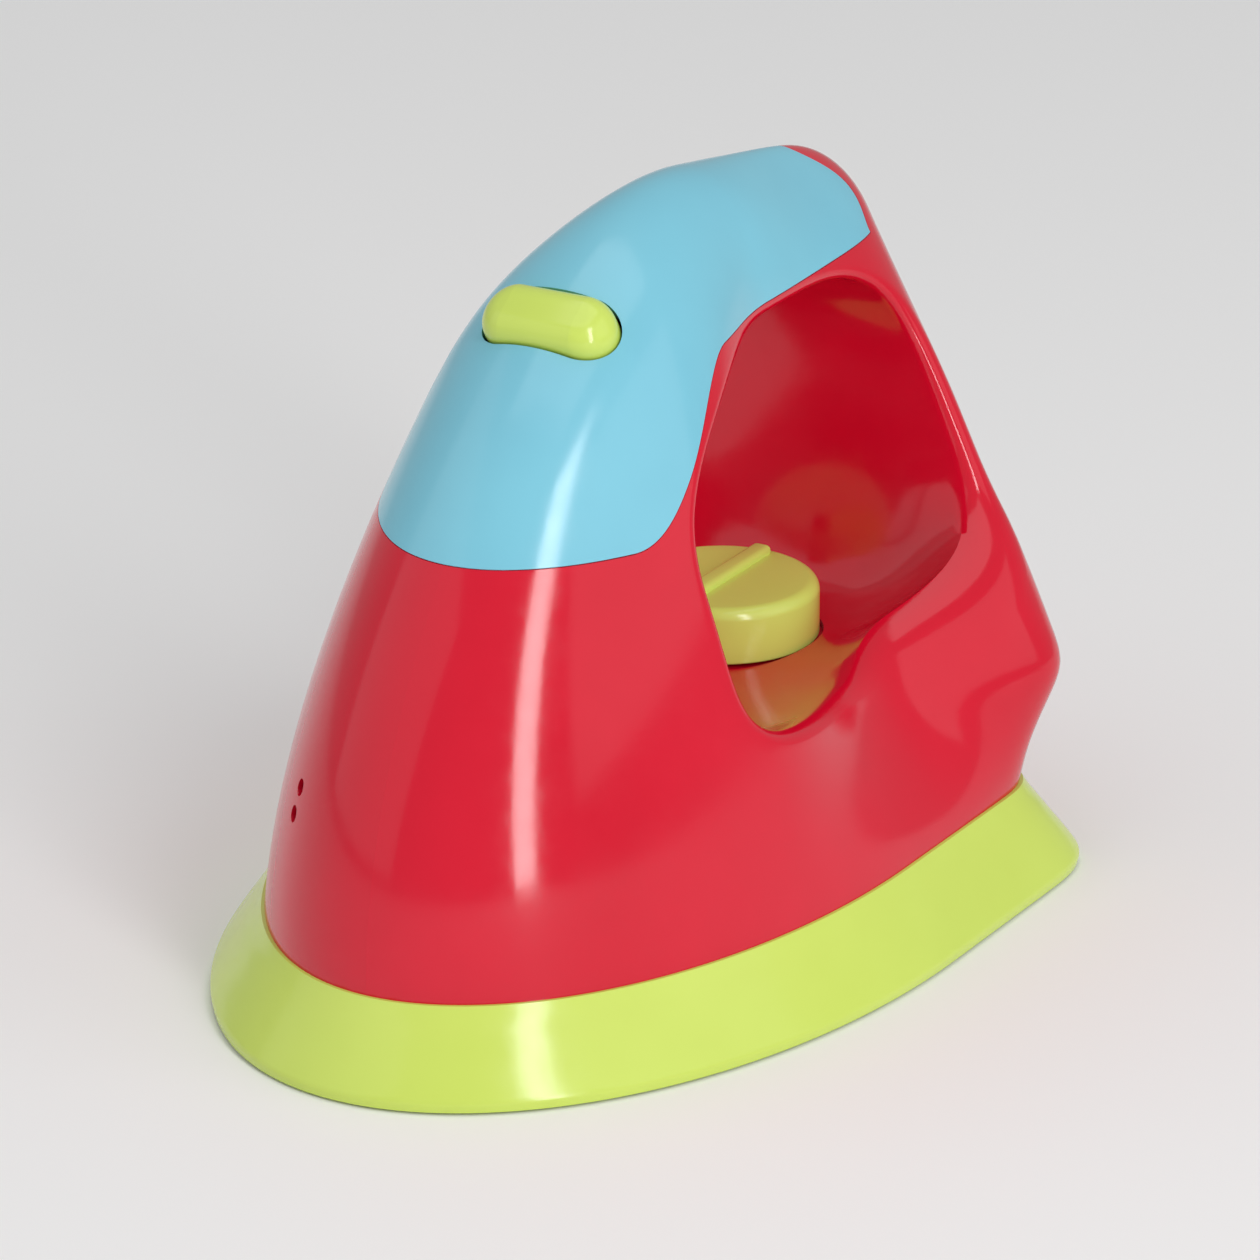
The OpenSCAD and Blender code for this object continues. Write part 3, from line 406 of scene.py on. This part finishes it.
red = moulded_plastic("red_gloss", linear(214, 16, 46), linear(206, 8, 40), 0.1, 0.17)
BOSSES = [(30.008, 29.981), (24.056, 55.93), (-13.02, 20.06), (-56.048, 20.06)]
PILLARS = [(3.968, 17.0, 32.92), (-47.988, 20.995, 34.09)]
PILLAR_LOW, PILLAR_R, POCKET_WALL_R = 3.0, 3.6, 4.8
PILOT_R, SHANK_R, POCKET_R = 1.4, 1.5, 3.3
PILOT_DEPTH, POCKET_FLOOR, SOLE_PILOT_TOP = 7.0, 6.0, 15.0
DIAL_X, SEAT_Z, SEAT_R, SEAT_CUT_TOP = -37.076, 32.34, 14.62, 44.0
BUSH_R, BUSH_CUT_LOW, BUSH_CUT_TOP = 5.6, 27.0, 34.0
VENT_X, VENT_Z, VENT_R, VENT_REACH = 50.716, 33.988, 1.2, 3.1
VENT_ENDS, VENT_ROWS = (47.6, 53.8), (32.1, 35.9)
for name, side in (("left_shell", 1.0), ("right_shell", -1.0)):
    half = lay_sheet("red_" + name, half_skin() * [1, side, 1])
    close_ends(half)
    inside = [boss(x, z, PILLAR_R if side > 0 else POCKET_WALL_R, side) for x, z in BOSSES]
    for x, y, z in PILLARS:
        inside.append(rod((x, side * y, PILLAR_LOW), (x, side * y, z), PILLAR_R))
    carve(half, inside, "UNION")
    tools = [cover_room(), rod((DIAL_X, 0, SEAT_Z), (DIAL_X, 0, SEAT_CUT_TOP), SEAT_R, 96)]
    for x, y, _ in PILLARS:
        tools.append(rod((x, side * y, 2.0), (x, side * y, SOLE_PILOT_TOP), PILOT_R))
    for x, z in BOSSES:
        if side > 0:
            tools.append(rod((x, -1.0, z), (x, PILOT_DEPTH, z), PILOT_R))
        else:
            tools.append(rod((x, -POCKET_FLOOR, z), (x, -ROOM_REACH, z), POCKET_R))
    if side < 0:
        y = -float(flank(np.array(VENT_X), np.array(VENT_Z)))
        for z in VENT_ROWS:
            inner, outer = (VENT_ENDS[0], y + VENT_REACH, z), (VENT_ENDS[1], y - VENT_REACH, z)
            tools.append(rod(inner, outer, VENT_R))
    carve(half, tools, "DIFFERENCE")
    through = [rod((DIAL_X, 0, BUSH_CUT_LOW), (DIAL_X, 0, BUSH_CUT_TOP), BUSH_R, 64)]
    if side < 0:
        through += [rod((x, 1.0, z), (x, -PILOT_DEPTH, z), SHANK_R) for x, z in BOSSES]
    carve(half, through, "DIFFERENCE")
    smooth(half)
    wear(half, red)
    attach(half, "housing")
    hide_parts(name)

# Top cover. One light blue moulding snapped over the nose and along the handle, with its
# edge against the red halves all round and a hole for the push button.
def cover_skin():
    rear, front = np.linspace(-COVER_BACK, -4.0, 80), np.linspace(-4.0, COVER_FRONT, 101)
    x = np.concatenate([rear, front[1:]])
    z = cover_edge(x)
    share = (x + COVER_BACK) / (COVER_FRONT + COVER_BACK)
    follow = 1 - ease(share / 0.6)
    tilt = math.pi / 2 * (1 - ease((x + 14.0) / 38.0))

    def along(t):
        return x + t * np.cos(tilt) + follow * (cover_end(t) + COVER_BACK), z + t * np.sin(tilt)

    far = far_along(lambda t: past_outline(*along(t)), np.zeros(len(x)), np.full(len(x), 60.0))
    arcs = []
    for w in np.linspace(-1, 1, 121):
        at_x, at_z = along(far * (1 - w * w))
        y = 0 * at_x if abs(w) < 1e-9 else -np.sign(w) * flank(at_x, at_z)
        arcs.append(np.stack([at_x, y, at_z], 1))
    return np.stack(arcs, 1)


BUTTON_X, BUTTON_Z, BUTTON_TILT = 13.02, 95.773, math.radians(35.431)
HOLE_LONG, HOLE_WIDE = 21.2, 10.2


def on_button(u, v, w):
    x = BUTTON_X + u * math.cos(BUTTON_TILT) + w * math.sin(BUTTON_TILT)
    z = BUTTON_Z - u * math.sin(BUTTON_TILT) + w * math.cos(BUTTON_TILT)
    return np.stack(np.broadcast_arrays(x, v, z), -1)


def oval(length, width, inset):
    a = np.linspace(0, math.pi, 49)
    r = width / 2 - inset
    off = (length - width) / 2
    u = np.concatenate([r * np.cos(a), -r * np.cos(a), [r]])
    v = np.concatenate([off + r * np.sin(a), -off - r * np.sin(a), [off]])
    return u, v


cover = lay_sheet("blue_cover", cover_skin())
if sum(p.area * p.normal.z for p in cover.data.polygons) < 0:
    turn_faces(cover)
COVER_WALL, COVER_EDGE = 0.002, 0.00022
work(cover, "SOLIDIFY", thickness=COVER_WALL, offset=-1.0)
edges = {"limit_method": "ANGLE", "angle_limit": math.radians(50)}
work(cover, "BEVEL", width=COVER_EDGE, segments=3, **edges)
u, v = oval(HOLE_LONG, HOLE_WIDE, 0)
hole = lay_sheet("button_hole", np.stack([on_button(u, v, -7.0), on_button(u, v, 6.0)]))
close_ends(hole)
carve(cover, [hole], "DIFFERENCE")
smooth(cover)
blue = moulded_plastic("blue_gloss", linear(126, 199, 219), linear(120, 192, 213), 0.12, 0.2)
wear(cover, blue)
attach(cover, "housing")
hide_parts("top_cover")

# Base skirt. A lime band that flares out round the base and rolls in to a thin lip; it is
# clamped between the halves, which stand on its ledge, and the sole.
FLARE_OUT, SKIRT_LOW, SKIRT_LIP_IN, SKIRT_LIP_Z = 8.0, 0.4, 6.0, 3.1
SKIRT_LEDGE_LOW, SKIRT_LEDGE_IN = 10.8, 5.0


def flare():
    out = np.array([0, 0.16, 0.35, 0.56, 0.75, 0.91, 1, 0.98])
    up = np.array([1, 0.84, 0.68, 0.5, 0.34, 0.2, 0.1, 0])
    line = []
    knots = np.stack([mix(0.5, FLARE_OUT, out), mix(SKIRT_LOW, FOOT_Z, up)], 1)
    knots = np.concatenate([2 * knots[:1] - knots[1:2], knots, 2 * knots[-1:] - knots[-2:-1]])
    for i in range(1, len(knots) - 2):
        a, b, c, d = knots[i - 1 : i + 3]
        for t in np.linspace(0, 1, 7)[:-1]:
            bend, swing = 2 * a - 5 * b + 4 * c - d, 3 * b - a - 3 * c + d
            line.append(0.5 * (2 * b + (c - a) * t + bend * t**2 + swing * t**3))
    line.append(knots[-2])
    for t in np.linspace(0, 1, 6)[1:]:
        line.append(np.array([mix(knots[-2][0], SKIRT_LIP_IN, t), SKIRT_LOW]))
    line += [np.array([e, SKIRT_LIP_Z]) for e in (SKIRT_LIP_IN, 3.0)]
    line += [np.array([e, SKIRT_LEDGE_LOW]) for e in (-2.2, -SKIRT_LEDGE_IN)]
    line += [np.array([mix(-SKIRT_LEDGE_IN, 0.2, t), FOOT_Z]) for t in (0, 0.5, 1.0)]
    line.append(line[0])
    return line


rings = []
for e, z in flare():
    half_foot = foot_line(e, 90, 60, 20)
    whole = np.concatenate([half_foot, half_foot[-2::-1] * [1, -1]])
    rings.append(np.concatenate([whole, np.full((len(whole), 1), z)], 1))
skirt = lay_sheet("lime_skirt", np.stack(rings))
close_ends(skirt)
smooth(skirt, 40)
lime = moulded_plastic("lime_gloss", linear(206, 226, 104), linear(200, 220, 96), 0.14, 0.22)
wear(skirt, lime)
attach(skirt, "housing")
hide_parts("base_skirt")

# Sole plate and its four screws. A flat lime plate closes the base; the screws go up into
# the pillars of the halves, with their heads sunk in the plate.
def plain_steel(name, colour, gloss, dull):
    mat = moulded_plastic(name, colour, [0.8 * c for c in colour], gloss, dull)
    mat.node_tree.nodes["Principled BSDF"].inputs["Metallic"].default_value = 1.0
    return mat


satin = moulded_plastic("lime_satin", linear(204, 224, 104), linear(196, 216, 96), 0.32, 0.45)
wear(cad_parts["sole_plate"], satin)
zinc = plain_steel("zinc_plate", linear(206, 208, 210), 0.25, 0.42)
wear(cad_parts["sole_screws"], zinc)
wear(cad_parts["shell_screws"], zinc)

# Push button. A lime oval cap with a pillowed top and a stem; it slides in the bridge under
# the cover, and a coil spring pushes it up until the washer on its stem meets the bridge.
CAP_LONG, CAP_WIDE, CAP_EDGE, CAP_UP, CAP_LOW, CAP_CROWN_R = 20.4, 9.4, 3.2, 2.6, -6.0, 30.0


def crown(v):
    return CAP_UP - (CAP_CROWN_R - np.sqrt(CAP_CROWN_R**2 - v * v))


u, v = oval(CAP_LONG, CAP_WIDE, 0)
rows = [on_button(u, v, np.full(len(u), CAP_LOW))]
for t in np.linspace(0, 1, 5):
    rows.append(on_button(u, v, mix(CAP_LOW, crown(v) - CAP_EDGE, t)))
for t in np.linspace(0, math.pi / 2, 12)[1:]:
    u, v = oval(CAP_LONG, CAP_WIDE, CAP_EDGE * (1 - math.cos(t)))
    rows.append(on_button(u, v, crown(v) - CAP_EDGE * (1 - math.sin(t))))
for t in np.linspace(0, 1, 8)[1:]:
    u, v = oval(CAP_LONG, CAP_WIDE, mix(CAP_EDGE, CAP_WIDE / 2, t))
    rows.append(on_button(u, v, crown(v)))
button = lay_sheet("lime_button", np.stack(rows))
close_ends(button)
axis = np.array([math.sin(BUTTON_TILT), 0, math.cos(BUTTON_TILT)])
middle = np.array([BUTTON_X, 0, BUTTON_Z])
CAP_WELL_R, STEM_R, SCREW_PILOT_R = 4.1, 2.0, 0.9
carve(button, [rod(middle - 8.0 * axis, middle - 1.0 * axis, CAP_WELL_R, 48)], "DIFFERENCE")
carve(button, [rod(middle - 10.2 * axis, middle - 0.5 * axis, STEM_R, 32)], "UNION")
carve(button, [rod(middle - 11.0 * axis, middle - 5.8 * axis, SCREW_PILOT_R, 24)], "DIFFERENCE")
smooth(button)
wear(button, lime)
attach(button, "button")
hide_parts("steam_button")

COIL_R, WIRE_R, COIL_LOW, COIL_HIGH, COIL_TURNS = 3.5, 0.3, -8.1, -1.4, 5
turns = np.linspace(0, COIL_TURNS * 2 * math.pi, 241)
climb = mix(COIL_LOW, COIL_HIGH, turns / turns[-1])
coil = []
for b in np.linspace(0, 2 * math.pi, 13):
    r = COIL_R + WIRE_R * math.cos(b)
    coil.append(on_button(r * np.cos(turns), r * np.sin(turns), climb + WIRE_R * math.sin(b)))
spring = lay_sheet("button_coil", np.stack(coil))
close_ends(spring)
smooth(spring, 60)
wear(spring, plain_steel("spring_wire", linear(196, 198, 202), 0.2, 0.34))
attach(spring, "housing")
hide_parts("button_spring")
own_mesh(spring)

natural = moulded_plastic("white_moulding", linear(236, 236, 228), linear(228, 228, 218), 0.4, 0.55)
wear(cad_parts["button_guide"], natural)
for part in ("button_washer", "button_screw", "guide_screws"):
    wear(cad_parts[part], zinc)

# Dial. A lime knob on the floor of the hand opening, turned by a grip rib; its shaft runs in
# a bush that the halves clamp, with a notched wheel and a leaf spring below for the clicks.
KNOB_R, KNOB_LOW, KNOB_TOP, LOW_ROUND, TOP_ROUND = 14.02, 32.91, 41.21, 0.4, 1.8
SHAFT_R, SHAFT_LOW, KNOB_WELL_R, KNOB_WELL_TOP = 3.0, 24.51, 9.0, 34.11
outline = [(0.0, SHAFT_LOW), (SHAFT_R, SHAFT_LOW), (SHAFT_R, KNOB_WELL_TOP)]
outline += [(KNOB_WELL_R, KNOB_WELL_TOP), (KNOB_WELL_R, KNOB_LOW)]
for t in np.linspace(0, math.pi / 2, 6):
    r, z = KNOB_R - LOW_ROUND * (1 - math.sin(t)), KNOB_LOW + LOW_ROUND * (1 - math.cos(t))
    outline.append((r, z))
outline += [(KNOB_R, z) for z in (35.0, 37.0)]
for t in np.linspace(0, math.pi / 2, 12):
    r, z = KNOB_R - TOP_ROUND * (1 - math.cos(t)), KNOB_TOP - TOP_ROUND * (1 - math.sin(t))
    outline.append((r, z))
outline += [(r, KNOB_TOP) for r in (10.0, 6.0, 3.0, 0.0)]
around = np.linspace(0, 2 * math.pi, 129)
rings = []
for r, z in outline:
    rings.append(np.stack([DIAL_X + r * np.cos(around), r * np.sin(around), np.full(129, z)], 1))
dial = lay_sheet("lime_dial", np.stack(rings))
close_ends(dial)
bpy.ops.object.select_all(action="DESELECT")
RIB_PLACE, RIB_SIZE, RIB_EDGE = (0.001 * DIAL_X, 0, 0.0413), (0.0244, 0.003, 0.0022), 0.0008
bpy.ops.mesh.primitive_cube_add(size=1, location=RIB_PLACE)
rib = bpy.context.object
bpy.ops.object.mode_set(mode="EDIT")
bpy.ops.mesh.select_all(action="SELECT")
bpy.ops.transform.resize(value=RIB_SIZE)
bpy.ops.mesh.bevel(offset=RIB_EDGE, segments=4, affect="EDGES")
bpy.ops.object.mode_set(mode="OBJECT")
bpy.ops.object.transform_apply(location=True, rotation=True, scale=True)
carve(dial, [rib], "UNION")
carve(dial, [rod((DIAL_X, 0, 23.5), (DIAL_X, 0, 28.9), SCREW_PILOT_R, 24)], "DIFFERENCE")
smooth(dial)
# Painted light: the dial gets a lighter copy of the lime used on the button and skirt, so the knob
# looks brightly lit in the shade of the hand opening.
lime_lit_for_shade = moulded_plastic("lime_dial_painted_light", linear(216, 236, 118), linear(210, 230, 110), 0.14, 0.22)
wear(dial, lime_lit_for_shade)
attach(dial, "dial")
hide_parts("dial_knob")
for part in ("dial_bush", "click_wheel"):
    wear(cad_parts[part], natural)
for part in ("click_spring", "click_screw", "dial_washer", "dial_screw"):
    wear(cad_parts[part], zinc)

# Table, light and camera. A pale floor, a soft light from above, a tall strip by the nose, a
# fill on the near flank and a broad panel on the far one, and the camera where the photograph
# was taken from.
bpy.ops.object.select_all(action="DESELECT")
bpy.ops.mesh.primitive_plane_add(size=8)
floor = bpy.context.object
floor.name = "floor"
pale = bpy.data.materials.new("pale_floor")
pale.use_nodes = True
paint = pale.node_tree.nodes["Principled BSDF"]
paint.inputs["Base Color"].default_value = (0.92, 0.92, 0.92, 1)
paint.inputs["Roughness"].default_value = 0.7
wear(floor, pale)
world = bpy.data.worlds.new("room")
bpy.context.scene.world = world
world.use_nodes = True
world.node_tree.nodes["Background"].inputs["Color"].default_value = (1, 1, 1, 1)
world.node_tree.nodes["Background"].inputs["Strength"].default_value = 0.38


AIM = (0, 0, 0.05)


def turned(place, aim):
    back = np.array(place, float) - np.array(aim, float)
    tip = math.atan2(math.hypot(back[0], back[1]), back[2])
    return tip, 0, math.atan2(back[0], -back[1])


def panel(name, place, width, height, power):
    light = bpy.data.lights.new(name, "AREA")
    light.shape = "RECTANGLE"
    light.size, light.size_y, light.energy = width, height, power
    lamp = bpy.data.objects.new(name, light)
    bpy.context.scene.collection.objects.link(lamp)
    lamp.location = place
    lamp.rotation_euler = turned(place, AIM)


panel("top_light", (0.0, 0.0, 1.6), 1.3, 1.3, 5.6)
panel("strip_light", (0.62, 1.0, 0.62), 0.2, 1.3, 8.6)
panel("fill_light", (-0.15, 1.3, 0.75), 1.1, 1.1, 2.3)
panel("side_light", (1.05, -1.05, 0.8), 2.2, 1.6, 4.6)
camera = bpy.data.objects.new("camera", bpy.data.cameras.new("camera"))
bpy.context.scene.collection.objects.link(camera)
camera.data.lens = 255.0
camera.data.clip_start = 0.05
toward = np.array([0.80850, 0.46679, 0.35837])
camera.location = np.array(AIM) + 1.25 * toward
camera.rotation_euler = turned(camera.location, (-0.0012, 0.0052, 0.046))
bpy.context.scene.camera = camera
bpy.context.scene.view_settings.view_transform = "Standard"
